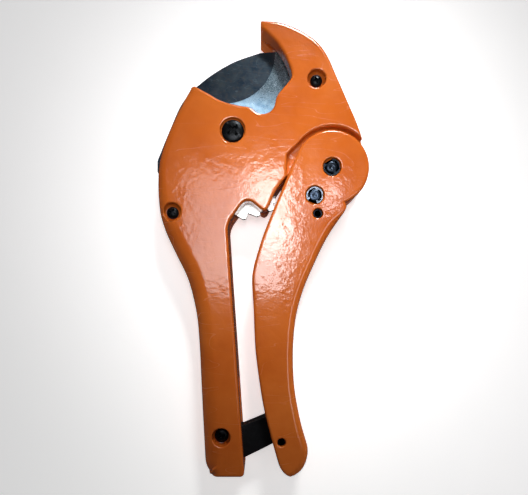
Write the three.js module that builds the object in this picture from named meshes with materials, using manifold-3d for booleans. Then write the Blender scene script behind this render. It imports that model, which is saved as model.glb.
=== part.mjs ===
// Ratchet pipe cutter for PVC pipe up to 42 mm, lying flat on its rear side.
// Millimetres. +Z points out of the front (screw-head) side, +Y towards the jaw, +X to the front
// view's right. Sizes below are in a working frame whose z = 0 is the blade's middle plane. The last
// lines move the tool so that its origin is the bottom centre of its bounding box.

import * as THREE from 'three';
import * as BufferGeometryUtils from 'three/addons/utils/BufferGeometryUtils.js';
import Module from 'manifold-3d';

const wasm = await Module();
wasm.setup();

// Driving dimensions ---------------------------------------------------------------------------

const GAP = 0.3; // clearance between pieces that touch on the real tool
const HALF_THICKNESS = 10; // half of the body's thickness
const PARTING = 0.15; // each half stops this far from the middle plane
const EDGE_BEVEL = 1.3; // bevel of the castings' outer edges
const OUTLINE_TOLERANCE = 0.06; // how far a straight facet may lie off a curved outline

const BLADE_PIVOT = [-13.5, 78];
const HANDLE_PIVOT = [32.2, 61.2];
const PAWL_PIVOT = [24.3, 48.2];
const SPRING_ANCHOR = [25.7, 39.8];
const HOLDING_PIVOT = [-23, 31];
const LATCH_PIVOT = [-18.85, -63.3];
const LATCH_CATCH = [8.95, -65.5];
const SCREW_TOP = [25.2, 101.8];
const SCREW_LEFT = [-41.5, 40.5];

const BLADE_HALF = 1.4; // half of the blade's thickness
const SLOT_HALF = 1.75; // half of the slot that the blade runs in
const RIM_RADIUS = 39.5; // tips of the ratchet teeth, from the blade pivot
const TOOTH_DEPTH = 2.6;
const TOOTH_PITCH = 10; // degrees
const TOOTH_LAST = 298.5; // angle of the last tooth's tip with the jaw closed
const TOOTH_COUNT = 9;
const CAVITY_RADIUS = 40.9; // the housing's round cavity for the rim
const BLADE_TIP_RADIUS = 47;
const GRIND_CENTRE = [-4.3, 40]; // centre of the bevel and the cutting edge, from the blade pivot
const GRIND_INNER = 24; // where the bevel starts
const EDGE_RADIUS = 36; // the cutting edge
const EDGE_HALF = 0.25; // half of the thickness left at the cutting edge

const HEAD_RADIUS = 17.2; // round head of the movable handle
const RECESS_RADIUS = 18.9; // recess in the body round that head
const TONGUE_HALF = 6; // half of the body's thickness between the handle's cheeks
const TONGUE_RADIUS = 10;
const CHANNEL_HALF = 6.3; // half of the width between the cheeks
const HOLLOW_HALF = 6.4; // half of the hollow in the fixed handle

const PIN_RADIUS = 2.8; // handle pin and pawl pin
const CLIP_RADIUS = 4;
const CLIP_THICKNESS = 0.7;
const CLIP_LOW = 8.7; // underside of a clip, from the middle plane
const CLIP_FLOOR = 8.4; // floor of the recess that a clip lies in
const BUSHING_RADIUS = 5;
const BUSHING_BORE = 3; // also the hole that the blade screw passes through
const SMALL_SCREW_HOLE = 1.8;
const HOLDING_PIN_RADIUS = 1.6;
const ANCHOR_RADIUS = 2; // roll pin that the pawl spring leans on
const CATCH_RADIUS = 1.7; // roll pin that the latch hooks
const ROLL_PIN_HALF = 8.8; // half of a roll pin's length
const ROLL_PIN_WALL = 0.7;
const LATCH_HALF = 2.9; // half of the latch's thickness
const LATCH_ROOM = 3.4; // half of the space that the latch swings in
const LATCH_SCREW_HOLE = 2.6;
const THROUGH = HALF_THICKNESS + 2; // a height that clears either side of the tool

const ORANGE = 0xe0763a;
const BLACK = 0x17181b;
const STEEL = 0x9aa4ad;
const BRIGHT_STEEL = 0xc4c9ce;

// Helpers --------------------------------------------------------------------------------------

const degrees = THREE.MathUtils.degToRad;

// A closed geometry as a manifold solid, for joining and cutting.
function solid(geometry) {
  const bare = geometry.index ? geometry.toNonIndexed() : geometry.clone();
  bare.deleteAttribute('normal');
  bare.deleteAttribute('uv');
  const merged = BufferGeometryUtils.mergeVertices(bare, 1e-5);
  const vertProperties = new Float32Array(merged.attributes.position.array);
  const triVerts = new Uint32Array(merged.index.array);
  const first = new wasm.Manifold(new wasm.Mesh({ numProp: 3, vertProperties, triVerts }));
  if (first.volume() > 0) {
    return first;
  }
  // A turned profile drawn the other way round faces inwards, so its triangles are reversed.
  triVerts.reverse();
  return new wasm.Manifold(new wasm.Mesh({ numProp: 3, vertProperties, triVerts }));
}

// A manifold solid back as a geometry.
function geometryOf(manifold) {
  const mesh = manifold.getMesh();
  const geometry = new THREE.BufferGeometry();
  geometry.setAttribute('position', new THREE.BufferAttribute(mesh.vertProperties, 3));
  geometry.setIndex(new THREE.BufferAttribute(mesh.triVerts, 1));
  geometry.computeVertexNormals();
  return geometry;
}

// Every point of a curved outline that lies off its neighbours' line by more than the tolerance.
function simplified(outline, tolerance) {
  const [start, end] = [outline[0], outline.at(-1)];
  const line = new THREE.Line3(new THREE.Vector3(start.x, start.y), new THREE.Vector3(end.x, end.y));
  const nearest = new THREE.Vector3();
  const offsets = outline.map(({ x, y }) => {
    const point = new THREE.Vector3(x, y);
    return line.closestPointToPoint(point, true, nearest).distanceTo(point);
  });
  const furthest = offsets.indexOf(Math.max(...offsets));
  if (offsets[furthest] < tolerance) {
    return [start, end];
  }
  const before = simplified(outline.slice(0, furthest + 1), tolerance);
  return [...before.slice(0, -1), ...simplified(outline.slice(furthest), tolerance)];
}

// The shape with its curves made into as few straight edges as the tolerance allows.
function faceted(shape, tolerance) {
  const outline = shape.extractPoints(16).shape;
  const half = Math.floor(outline.length / 2);
  const kept = [
    ...simplified(outline.slice(0, half + 1), tolerance).slice(0, -1),
    ...simplified([...outline.slice(half), outline[0]], tolerance).slice(0, -1),
  ];
  return new THREE.Shape(kept.filter((point, i) => point.distanceTo(kept.at(i - 1)) > 0.2));
}

// A flat plate of the given outline from one height to another, with an optional edge bevel.
function plate(shape, low, high, bevel = 0) {
  const geometry = new THREE.ExtrudeGeometry(faceted(shape, OUTLINE_TOLERANCE), {
    depth: high - low - 2 * bevel,
    bevelEnabled: bevel > 0,
    bevelSize: bevel,
    bevelThickness: bevel,
    bevelOffset: -bevel,
    bevelSegments: 2,
  });
  geometry.translate(0, 0, low + bevel);
  return solid(geometry);
}

// A round bar or hole along Z; the radius may differ at its two ends.
function rod([x, y], radius, low, high, topRadius = radius, sides = 28) {
  const geometry = new THREE.CylinderGeometry(topRadius, radius, high - low, sides);
  geometry.rotateX(Math.PI / 2);
  geometry.translate(x, y, (low + high) / 2);
  return solid(geometry);
}

function block([x, y, z], [width, depth, height], turn = 0) {
  const geometry = new THREE.BoxGeometry(width, depth, height);
  geometry.rotateZ(turn);
  geometry.translate(x, y, z);
  return solid(geometry);
}

// A solid turned about a vertical axis from a profile of [radius, height] points.
function turned([x, y], profile, sides = 32) {
  const points = profile.map(([radius, height]) => new THREE.Vector2(radius, height));
  const geometry = new THREE.LatheGeometry(points, sides);
  geometry.rotateX(Math.PI / 2);
  geometry.translate(x, y, 0);
  return solid(geometry);
}

function points(list) {
  return list.map(([x, y]) => new THREE.Vector2(x, y));
}

function polar([x, y], radius, angle) {
  return [x + radius * Math.cos(degrees(angle)), y + radius * Math.sin(degrees(angle))];
}

function polygon(list) {
  return new THREE.Shape(points(list));
}

// A close-wound torsion spring about a vertical axis, with a straight leg at each end.
class TorsionSpringPath extends THREE.Curve {
  constructor([x, y], radius, bottom, pitch, startAngle, turns, legs) {
    super();
    Object.assign(this, { x, y, radius, bottom, pitch, startAngle, turns, legs });
    this.coilLength = 2 * Math.PI * radius * turns;
    this.length = legs[0] + this.coilLength + legs[1];
  }

  getPoint(t, target = new THREE.Vector3()) {
    const along = t * this.length - this.legs[0];
    const onCoil = THREE.MathUtils.clamp(along, 0, this.coilLength);
    const angle = degrees(this.startAngle) + onCoil / this.radius;
    const past = along - onCoil;
    return target.set(
      this.x + this.radius * Math.cos(angle) - past * Math.sin(angle),
      this.y + this.radius * Math.sin(angle) + past * Math.cos(angle),
      this.bottom + this.pitch * onCoil / (2 * Math.PI * this.radius),
    );
  }
}

function spring(path, wireRadius) {
  const wire = new THREE.Shape();
  wire.absarc(0, 0, wireRadius, 0, 2 * Math.PI, false);
  const steps = Math.round(path.turns * 14 + 4);
  const geometry = new THREE.ExtrudeGeometry(wire, { steps, extrudePath: path, curveSegments: 3 });
  return solid(geometry);
}

// A cross recess cut down into a screw head.
function crossRecess([x, y], span, width, top, depth) {
  const middle = top - depth / 2 + 0.5;
  const along = block([x, y, middle], [span, width, depth + 1], degrees(40));
  const across = block([x, y, middle], [width, span, depth + 1], degrees(40));
  return along.add(across);
}

// Body -----------------------------------------------------------------------------------------

// Front view of the castings, clockwise from the hook's tip: hook, housing, the tongue that the
// handle's cheeks straddle, notch, fixed handle, and back up to the mouth.
function bodyShape() {
  const shape = new THREE.Shape();
  shape.moveTo(-0.6, 128.5);
  shape.splineThru(points([[8, 127.8], [17.1, 124.4], [25.3, 118.9], [30.2, 112.4], [33.9, 104.1]]));
  shape.splineThru(points([[39.6, 91.2], [43.3, 82.6], [46.2, 74.6], [47.7, 69.1]]));
  shape.quadraticCurveTo(48, 61, ...polar(HANDLE_PIVOT, TONGUE_RADIUS, 330));
  shape.absarc(...HANDLE_PIVOT, TONGUE_RADIUS, degrees(330), degrees(247), true);
  shape.lineTo(12.4, 58.9);
  shape.lineTo(6.1, 49.8);
  shape.lineTo(3.4, 43.4);
  shape.quadraticCurveTo(1.8, 39.9, -0.6, 41.9);
  shape.lineTo(-4.2, 44.9);
  shape.quadraticCurveTo(-7.4, 46.8, -9.6, 43.9);
  shape.lineTo(-13.6, 38.4);
  shape.quadraticCurveTo(-16.1, 34.8, -15.8, 31.5);
  shape.lineTo(-8.2, -79.6);
  shape.quadraticCurveTo(-8.2, -81.4, -10, -81.6);
  shape.lineTo(-22, -81.6);
  shape.quadraticCurveTo(-26.9, -81.2, -27, -73.8);
  shape.splineThru(points([[-28.6, -43.5], [-29.7, -20.8], [-31.2, -5.7], [-35, 9.5], [-41.2, 22.7],
    [-45.8, 33], [-48.2, 43.5], [-48.1, 61.3], [-44.5, 75.1], [-38.3, 88.8]]));
  shape.lineTo(-33.4, 97.7);
  shape.quadraticCurveTo(-32.2, 99.2, -30.4, 98.2);
  shape.splineThru(points([[-25, 95.3], [-18.8, 91.8], [-11, 89.7], [-6, 88.9], [-3.9, 87.7]]));
  shape.absarc(0.4, 91.5, 5.7, degrees(222), degrees(355), false);
  shape.splineThru(points([[7.2, 94.6], [12.2, 100.6], [13.7, 104.2], [10.9, 112.1], [6.4, 119.2]]));
  shape.lineTo(-0.6, 125.5);
  shape.closePath();
  return shape;
}

// Outline of the recess round the handle's head: an arc, its tangent, and a corner by the housing.
function recessShape() {
  const [x, y] = HANDLE_PIVOT;
  const shape = new THREE.Shape();
  shape.moveTo(x + 30, y - 21);
  shape.lineTo(x + 30, y);
  shape.absarc(x, y, RECESS_RADIUS, 0, degrees(135), false);
  shape.lineTo(11.5, 67);
  shape.lineTo(11.1, 57);
  shape.lineTo(x, y - 21);
  shape.closePath();
  return shape;
}

// A round disc of the blade slot's height.
function slotDisc(centre, radius) {
  return rod(centre, radius, -SLOT_HALF, SLOT_HALF, radius, 72);
}

// The slot for the blade: the rim's round cavity and the pocket that the tip enters in the hook.
function bladeSlot() {
  const [x, y] = BLADE_PIVOT;
  const edgeRoom = slotDisc([x + GRIND_CENTRE[0], y + GRIND_CENTRE[1]], EDGE_RADIUS + 1);
  const tipRoom = slotDisc(BLADE_PIVOT, BLADE_TIP_RADIUS + 1);
  return slotDisc(BLADE_PIVOT, CAVITY_RADIUS).add(edgeRoom.intersect(tipRoom));
}

// Room in the castings for the holding pawl and its swing away from the rim.
function holdingPawlPocket() {
  const [x, y] = HOLDING_PIVOT;
  const swing = polygon([
    [x + 3.4, y - 2.6], [x + 3.4, y + 10.5], [x - 6, y + 13], [x - 11, y + 5], [x - 4, y - 2.6],
  ]);
  const room = rod(HOLDING_PIVOT, 4.4, -SLOT_HALF, SLOT_HALF);
  return room.add(plate(swing, -SLOT_HALF, SLOT_HALF));
}

// The hollow inside the fixed handle, with the bosses that clamp the latch left standing in it.
function handleHollow() {
  const wall = new THREE.Shape();
  wall.moveTo(-18.7, 22);
  wall.lineTo(-11.9, -77.4);
  wall.lineTo(-23.8, -77.4);
  wall.splineThru(points([[-25, -60], [-25.4, -43.5], [-26.3, -20.8], [-27.6, -6.5], [-31, 8], [-34, 15]]));
  wall.quadraticCurveTo(-34, 22, -28, 22);
  wall.closePath();
  const hollow = plate(wall, -HOLLOW_HALF, HOLLOW_HALF);
  const mouth = polygon([[-14, -37], [-6, -37], [-4, -77.4], [-14, -77.4]]);
  return hollow
    .subtract(rod(LATCH_PIVOT, 5.2, LATCH_ROOM, HOLLOW_HALF + 1))
    .subtract(rod(LATCH_PIVOT, 5.2, -HOLLOW_HALF - 1, -LATCH_ROOM))
    .add(plate(mouth, -LATCH_ROOM, LATCH_ROOM));
}

// What both castings share: the whole body with its cavities, before it is parted.
function bodyBlank() {
  return plate(bodyShape(), -HALF_THICKNESS, HALF_THICKNESS, EDGE_BEVEL)
    .subtract(plate(recessShape(), TONGUE_HALF, THROUGH))
    .subtract(plate(recessShape(), -THROUGH, -TONGUE_HALF))
    .subtract(bladeSlot())
    .subtract(holdingPawlPocket())
    .subtract(handleHollow())
    .subtract(rod(HANDLE_PIVOT, PIN_RADIUS + GAP, -8, 8));
}

const SCREW_FLOOR = 6.5; // floor of the small screws' counterbores
const LATCH_FLOOR = 5.5; // floor of the latch screw's counterbore
const BLADE_FLOOR = 8.2; // floor of the blade screw's counterbore
const NUT_FLOOR = -7.2; // floor of the nut's pocket

function bodyFront(blank) {
  const half = block([0, 20, PARTING + 10], [200, 260, 20]);
  let front = blank.intersect(half);
  for (const place of [SCREW_TOP, SCREW_LEFT]) {
    front = front.subtract(rod(place, 3.8, SCREW_FLOOR, THROUGH, 5));
    front = front.subtract(rod(place, SMALL_SCREW_HOLE, -1, SCREW_FLOOR + 1));
  }
  return front
    .subtract(rod(LATCH_PIVOT, 4.3, LATCH_FLOOR, THROUGH))
    .subtract(rod(LATCH_PIVOT, LATCH_SCREW_HOLE, -1, LATCH_FLOOR + 1))
    .subtract(rod(BLADE_PIVOT, 5.8, BLADE_FLOOR, THROUGH))
    .subtract(rod(BLADE_PIVOT, BUSHING_BORE, 0, BLADE_FLOOR + 1))
    .subtract(rod(BLADE_PIVOT, BUSHING_RADIUS + GAP, 0, 4))
    .subtract(rod(HOLDING_PIVOT, HOLDING_PIN_RADIUS + GAP, 0, 4.3));
}

function bodyRear(blank) {
  const half = block([0, 20, -PARTING - 10], [200, 260, 20]);
  let rear = blank.intersect(half);
  for (const place of [SCREW_TOP, SCREW_LEFT]) {
    rear = rear.subtract(rod(place, SMALL_SCREW_HOLE, -7.8, 1));
  }
  return rear
    .subtract(rod(LATCH_PIVOT, LATCH_SCREW_HOLE, -7.8, 1))
    .subtract(rod(BLADE_PIVOT, 5.7, -THROUGH, NUT_FLOOR))
    .subtract(rod(BLADE_PIVOT, BUSHING_BORE, NUT_FLOOR - 1, 0))
    .subtract(rod(BLADE_PIVOT, 9, -5.2, 0))
    .subtract(rod(HANDLE_PIVOT, 5.6, -TONGUE_HALF - 1, -3.1))
    .subtract(rod(HOLDING_PIVOT, 3.8, -3.9, 0))
    .subtract(rod(HOLDING_PIVOT, HOLDING_PIN_RADIUS + GAP, -6.3, 0));
}

// Blade ----------------------------------------------------------------------------------------

// Angle at which two circles cross, seen from the first one's centre.
function crossingAngle(radius, [x, y], otherRadius) {
  const span = Math.hypot(x, y);
  const cosine = (radius ** 2 + span ** 2 - otherRadius ** 2) / (2 * radius * span);
  return THREE.MathUtils.radToDeg(Math.atan2(y, x) - Math.acos(cosine));
}

// The blade from its pivot: tip, cutting edge, heel, ratchet rim, tail and back, clockwise.
function bladeShape() {
  const tip = crossingAngle(BLADE_TIP_RADIUS, GRIND_CENTRE, EDGE_RADIUS);
  const [tipX, tipY] = polar([0, 0], BLADE_TIP_RADIUS, tip);
  const edgeStart = Math.atan2(tipY - GRIND_CENTRE[1], tipX - GRIND_CENTRE[0]);
  const shape = new THREE.Shape();
  shape.moveTo(...polar([0, 0], BLADE_TIP_RADIUS, 60.5));
  shape.absarc(0, 0, BLADE_TIP_RADIUS, degrees(60.5), degrees(tip), true);
  shape.absarc(...GRIND_CENTRE, EDGE_RADIUS, edgeStart, degrees(-61), true);
  shape.quadraticCurveTo(18.5, 2, 20, -14);
  shape.lineTo(...polar([0, 0], RIM_RADIUS - TOOTH_DEPTH, TOOTH_LAST + 3.5));
  for (let tooth = 0; tooth < TOOTH_COUNT; tooth += 1) {
    const angle = TOOTH_LAST - tooth * TOOTH_PITCH;
    shape.lineTo(...polar([0, 0], RIM_RADIUS - TOOTH_DEPTH, angle + 2));
    shape.lineTo(...polar([0, 0], RIM_RADIUS, angle));
    shape.lineTo(...polar([0, 0], RIM_RADIUS, angle - 2.2));
  }
  shape.lineTo(...polar([0, 0], RIM_RADIUS - TOOTH_DEPTH, TOOTH_LAST - TOOTH_COUNT * TOOTH_PITCH));
  shape.lineTo(-34.4, -16.9);
  shape.lineTo(-36.5, -16.9);
  shape.lineTo(-36.5, -11.5);
  shape.splineThru(points([[-30.3, 3.7], [-24, 17], [-14, 27], [-0.8, 35.3], [12.5, 40.1]]));
  shape.closePath();
  return shape;
}

// The blade, double ground towards its convex cutting edge, from its pivot.
function blade() {
  const zone = block([GRIND_CENTRE[0] + 20, GRIND_CENTRE[1] - 19, 0], [50, 50, 8]);
  let part = plate(bladeShape(), -BLADE_HALF, BLADE_HALF);
  for (const side of [1, -1]) {
    const groundOff = turned(GRIND_CENTRE, [
      [GRIND_INNER, side * BLADE_HALF],
      [EDGE_RADIUS, side * EDGE_HALF],
      [EDGE_RADIUS + 3, side * EDGE_HALF],
      [EDGE_RADIUS + 3, side * 3],
      [GRIND_INNER, side * 3],
      [GRIND_INNER, side * BLADE_HALF],
    ], 72);
    part = part.subtract(groundOff.intersect(zone));
  }
  return part.subtract(rod([0, 0], BUSHING_RADIUS + GAP, -3, 3));
}

function bladeScrew() {
  const head = turned(BLADE_PIVOT, [[0, 8.5], [5.2, 8.5], [5.2, 9.1], [4.4, 9.7], [2.6, 9.95], [0, 10]]);
  const shank = rod(BLADE_PIVOT, 2.7, -9, 8.6);
  return head.add(shank).subtract(crossRecess(BLADE_PIVOT, 5.6, 1.3, 10, 1.3));
}

function bladeNut() {
  const hexagon = rod(BLADE_PIVOT, 5, -9.7, -7.5, 5, 6);
  return hexagon.subtract(rod(BLADE_PIVOT, BUSHING_BORE, -THROUGH, 0));
}

function bladeBushing() {
  const bore = rod(BLADE_PIVOT, BUSHING_BORE, -THROUGH, THROUGH);
  return rod(BLADE_PIVOT, BUSHING_RADIUS, -4.9, 3.7).subtract(bore);
}

function bladeSpring() {
  return spring(new TorsionSpringPath(BLADE_PIVOT, 7.2, -4.4, 1.3, 200, 1.4, [1.2, 1.2]), 0.55);
}

function bodyScrew(place) {
  const head = turned(place, [[0, 6.8], [2.85, 6.8], [2.85, 8.2], [2.4, 8.6], [0, 8.6]], 32);
  const shank = rod(place, 1.5, -7.5, 7);
  return head.add(shank).subtract(crossRecess(place, 3.2, 0.9, 8.6, 1));
}

// Holding pawl ---------------------------------------------------------------------------------

function holdingPawlShape() {
  const shape = new THREE.Shape();
  shape.absarc(0, 0, 3.6, degrees(200), degrees(20), false);
  shape.lineTo(-3.6, 9.3);
  shape.lineTo(-5.3, 10);
  shape.lineTo(-6.6, 9.2);
  shape.closePath();
  return shape;
}

function holdingPawl() {
  const hole = rod([0, 0], HOLDING_PIN_RADIUS + GAP, -3, 3);
  return plate(holdingPawlShape(), -BLADE_HALF, BLADE_HALF, 0.2).subtract(hole);
}

function holdingPawlPin() {
  return rod(HOLDING_PIVOT, HOLDING_PIN_RADIUS, -6, 4);
}

function holdingPawlSpring() {
  return spring(new TorsionSpringPath(HOLDING_PIVOT, 2.6, -3.3, 0.8, 30, 1.2, [0.4, 0.4]), 0.32);
}

// Movable handle -------------------------------------------------------------------------------

// Front view of the handle: round head, then the long curved grip.
function handleShape() {
  const shape = new THREE.Shape();
  shape.absarc(...HANDLE_PIVOT, HEAD_RADIUS, degrees(-69), degrees(156.7), false);
  shape.lineTo(9.6, 52);
  shape.splineThru(points([[6.9, 45.7], [3.6, 37.8], [0.1, 28.6], [-2.9, 18.8]]));
  shape.quadraticCurveTo(-4.8, 12.6, -4.6, 8);
  shape.splineThru(points([[-3.9, -4], [-3.1, -22], [-1.5, -35.5], [0.8, -49.8], [4.4, -64.2], [7.3, -74.5]]));
  shape.quadraticCurveTo(8.8, -80.2, 13, -81.6);
  shape.quadraticCurveTo(18.2, -81.4, 20.4, -75.4);
  shape.quadraticCurveTo(22, -71, 20.9, -67);
  shape.splineThru(points([[17.8, -56], [15.2, -41.5], [14.4, -27], [15.3, -11], [18.4, 2.4], [23.4, 14.9],
    [29.9, 28.4], [36, 37.8]]));
  shape.quadraticCurveTo(39, 41.6, 39.1, 43.4);
  shape.closePath();
  return shape;
}

// The space between the cheeks, open towards the fixed handle.
function channelShape() {
  const shape = new THREE.Shape();
  shape.moveTo(-30, 95);
  shape.lineTo(-30, -77.6);
  shape.lineTo(15.6, -77.6);
  shape.quadraticCurveTo(18.2, -72, 17.2, -67);
  shape.splineThru(points([[14, -56], [11.5, -41.5], [10.7, -27], [11.6, -11], [14.8, 3.8], [20, 16.8],
    [26.6, 30.4], [33.4, 41]]));
  shape.lineTo(34.6, 43.8);
  shape.lineTo(62, 43.8);
  shape.lineTo(62, 95);
  shape.closePath();
  return shape;
}

function movableHandle() {
  let handle = plate(handleShape(), -HALF_THICKNESS, HALF_THICKNESS, EDGE_BEVEL)
    .subtract(plate(channelShape(), -CHANNEL_HALF, CHANNEL_HALF));
  for (const place of [HANDLE_PIVOT, PAWL_PIVOT]) {
    handle = handle
      .subtract(rod(place, PIN_RADIUS + GAP, -THROUGH, THROUGH))
      .subtract(rod(place, CLIP_RADIUS + GAP, CLIP_FLOOR, THROUGH))
      .subtract(rod(place, CLIP_RADIUS + GAP, -THROUGH, -CLIP_FLOOR));
  }
  return handle
    .subtract(rod(SPRING_ANCHOR, ANCHOR_RADIUS + GAP, -THROUGH, THROUGH))
    .subtract(rod(LATCH_CATCH, CATCH_RADIUS + GAP, -THROUGH, THROUGH));
}

function pivotPin(place) {
  return turned(place, [[0, -9.7], [2.5, -9.7], [PIN_RADIUS, -9.4], [PIN_RADIUS, 9.4], [2.5, 9.7], [0, 9.7]]);
}

// An open retaining clip lying in the recess at one end of a pin.
function pinClip(place, low, mouthAngle) {
  const hole = rod(place, PIN_RADIUS + GAP, -THROUGH, THROUGH);
  const mouth = block([...polar(place, CLIP_RADIUS, mouthAngle), low], [5, 3.2, 4], degrees(mouthAngle));
  return rod(place, CLIP_RADIUS, low, low + CLIP_THICKNESS).subtract(hole).subtract(mouth);
}

// A rolled spring pin: a tube with a slit along it.
function rollPin([x, y], radius) {
  const bore = rod([x, y], radius - ROLL_PIN_WALL, -THROUGH, THROUGH);
  const slit = block([x, y - radius, 0], [0.6, 2 * radius, 2 * THROUGH]);
  return rod([x, y], radius, -ROLL_PIN_HALF, ROLL_PIN_HALF).subtract(bore).subtract(slit);
}

function handleSpring() {
  return spring(new TorsionSpringPath(HANDLE_PIVOT, 4.2, -5.1, 1.1, 60, 1.3, [0.7, 0.7]), 0.45);
}

// Drive pawl -----------------------------------------------------------------------------------

// The drive pawl from its pivot: hub, and an arm to the tip beside the rim's teeth.
function drivePawlShape() {
  const shape = new THREE.Shape();
  shape.absarc(0, 0, 4.4, degrees(-110), degrees(112), false);
  shape.lineTo(-9.8, -0.8);
  shape.lineTo(-19, -5.5);
  shape.lineTo(-19.4, -7.1);
  shape.lineTo(-17.8, -8.5);
  shape.closePath();
  return shape;
}

function drivePawl() {
  const hole = rod([0, 0], PIN_RADIUS + GAP, -3, 3);
  return plate(drivePawlShape(), -BLADE_HALF, BLADE_HALF, 0.2).subtract(hole);
}

function pawlSpring() {
  return spring(new TorsionSpringPath(PAWL_PIVOT, 3.9, 2.6, 1, 175, 1.35, [1, 4.2]), 0.4);
}

// Latch ----------------------------------------------------------------------------------------

// The latch from its screw: hub, broad web and the hook that drops over the catch pin.
function latchShape() {
  const shape = new THREE.Shape();
  shape.absarc(0, 0, 5.6, degrees(70), degrees(245), false);
  shape.lineTo(8, -12.9);
  shape.lineTo(20.4, -6.8);
  shape.lineTo(24.6, -4.6);
  shape.quadraticCurveTo(25.5, -3.6, 25.6, 0.7);
  shape.absarc(27.9, 0.7, 2.2, Math.PI, 0, true);
  shape.lineTo(30.3, 0);
  shape.lineTo(32.6, 0.6);
  shape.quadraticCurveTo(33.2, 4.6, 29.4, 6.8);
  shape.quadraticCurveTo(25, 9.2, 20.5, 8.3);
  shape.lineTo(10, 3.9);
  shape.closePath();
  return shape;
}

function latch() {
  const hole = rod([0, 0], LATCH_SCREW_HOLE, -THROUGH, THROUGH);
  return plate(latchShape(), -LATCH_HALF, LATCH_HALF, 0.5).subtract(hole);
}

function latchScrew() {
  const head = turned(LATCH_PIVOT, [[0, 5.8], [3.3, 5.8], [3.3, 7.2], [2.8, 7.6], [0, 7.6]], 32);
  return head.add(rod(LATCH_PIVOT, 2.3, -7.5, 6)).subtract(crossRecess(LATCH_PIVOT, 3.6, 1, 7.6, 1));
}

// Assembly -------------------------------------------------------------------------------------

const tool = new THREE.Group();

function add(name, manifold, color, roughness, metalness, [x, y] = [0, 0]) {
  const material = new THREE.MeshStandardMaterial({ color, roughness, metalness });
  const mesh = new THREE.Mesh(geometryOf(manifold), material);
  mesh.name = name;
  mesh.position.set(x, y, 0);
  tool.add(mesh);
}

const blank = bodyBlank();

add('body_front', bodyFront(blank), ORANGE, 0.25, 0.1);
add('body_rear', bodyRear(blank), ORANGE, 0.25, 0.1);
add('blade', blade(), STEEL, 0.35, 0.9, BLADE_PIVOT);
add('blade_screw', bladeScrew(), BLACK, 0.4, 0.6);
add('blade_nut', bladeNut(), BLACK, 0.4, 0.6);
add('blade_bushing', bladeBushing(), BRIGHT_STEEL, 0.3, 0.9);
add('blade_spring', bladeSpring(), BRIGHT_STEEL, 0.35, 0.9);
add('body_screw_top', bodyScrew(SCREW_TOP), BLACK, 0.4, 0.6);
add('body_screw_left', bodyScrew(SCREW_LEFT), BLACK, 0.4, 0.6);
add('holding_pawl', holdingPawl(), STEEL, 0.4, 0.9, HOLDING_PIVOT);
add('holding_pawl_pin', holdingPawlPin(), BRIGHT_STEEL, 0.3, 0.9);
add('holding_pawl_spring', holdingPawlSpring(), BRIGHT_STEEL, 0.35, 0.9);
add('movable_handle', movableHandle(), ORANGE, 0.25, 0.1);
add('handle_pin', pivotPin(HANDLE_PIVOT), STEEL, 0.3, 0.9);
add('handle_spring', handleSpring(), BRIGHT_STEEL, 0.35, 0.9);
add('pawl_pin', pivotPin(PAWL_PIVOT), STEEL, 0.3, 0.9);
for (const [pin, place, mouthAngle] of [['handle', HANDLE_PIVOT, 120], ['pawl', PAWL_PIVOT, 250]]) {
  const rearLow = -CLIP_LOW - CLIP_THICKNESS;
  add(`${pin}_clip_front`, pinClip(place, CLIP_LOW, mouthAngle), BRIGHT_STEEL, 0.25, 0.9);
  add(`${pin}_clip_rear`, pinClip(place, rearLow, mouthAngle), BRIGHT_STEEL, 0.25, 0.9);
}
add('drive_pawl', drivePawl(), STEEL, 0.4, 0.9, PAWL_PIVOT);
add('pawl_spring', pawlSpring(), BRIGHT_STEEL, 0.35, 0.9);
add('spring_anchor_pin', rollPin(SPRING_ANCHOR, ANCHOR_RADIUS), BRIGHT_STEEL, 0.3, 0.9);
add('latch', latch(), BLACK, 0.45, 0.2, LATCH_PIVOT);
add('latch_screw', latchScrew(), BLACK, 0.4, 0.6);
add('latch_catch_pin', rollPin(LATCH_CATCH, CATCH_RADIUS), BRIGHT_STEEL, 0.3, 0.9);

const box = new THREE.Box3().setFromObject(tool);
const centre = box.getCenter(new THREE.Vector3());
tool.position.set(-centre.x, -centre.y, -box.min.z);

export default tool;
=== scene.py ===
import math

import bmesh
import bpy
import numpy as np
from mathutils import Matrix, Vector
from mathutils.kdtree import KDTree


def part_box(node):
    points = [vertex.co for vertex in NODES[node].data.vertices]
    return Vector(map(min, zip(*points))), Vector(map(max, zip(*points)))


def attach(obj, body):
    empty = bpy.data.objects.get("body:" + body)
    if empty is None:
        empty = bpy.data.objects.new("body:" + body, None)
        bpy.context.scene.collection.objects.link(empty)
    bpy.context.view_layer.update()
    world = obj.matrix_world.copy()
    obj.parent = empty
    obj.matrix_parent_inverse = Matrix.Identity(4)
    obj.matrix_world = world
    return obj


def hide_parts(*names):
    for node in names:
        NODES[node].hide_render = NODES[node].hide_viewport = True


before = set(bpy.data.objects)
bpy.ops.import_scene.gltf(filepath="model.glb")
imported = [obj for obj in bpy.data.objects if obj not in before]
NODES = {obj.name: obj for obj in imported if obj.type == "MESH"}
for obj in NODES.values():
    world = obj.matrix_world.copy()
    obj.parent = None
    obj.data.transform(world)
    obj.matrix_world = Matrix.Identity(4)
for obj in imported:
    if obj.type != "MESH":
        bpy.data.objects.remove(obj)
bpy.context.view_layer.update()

MM = 0.001

# Heights of the castings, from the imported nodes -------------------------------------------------

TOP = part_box("body_front")[1].z
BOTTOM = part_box("body_rear")[0].z
MIDDLE = (TOP + BOTTOM) / 2


def axis_of(node):
    """The centre of a round node, seen from the front."""
    low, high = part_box(node)
    return Vector(((low.x + high.x) / 2, (low.y + high.y) / 2, 0))


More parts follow.
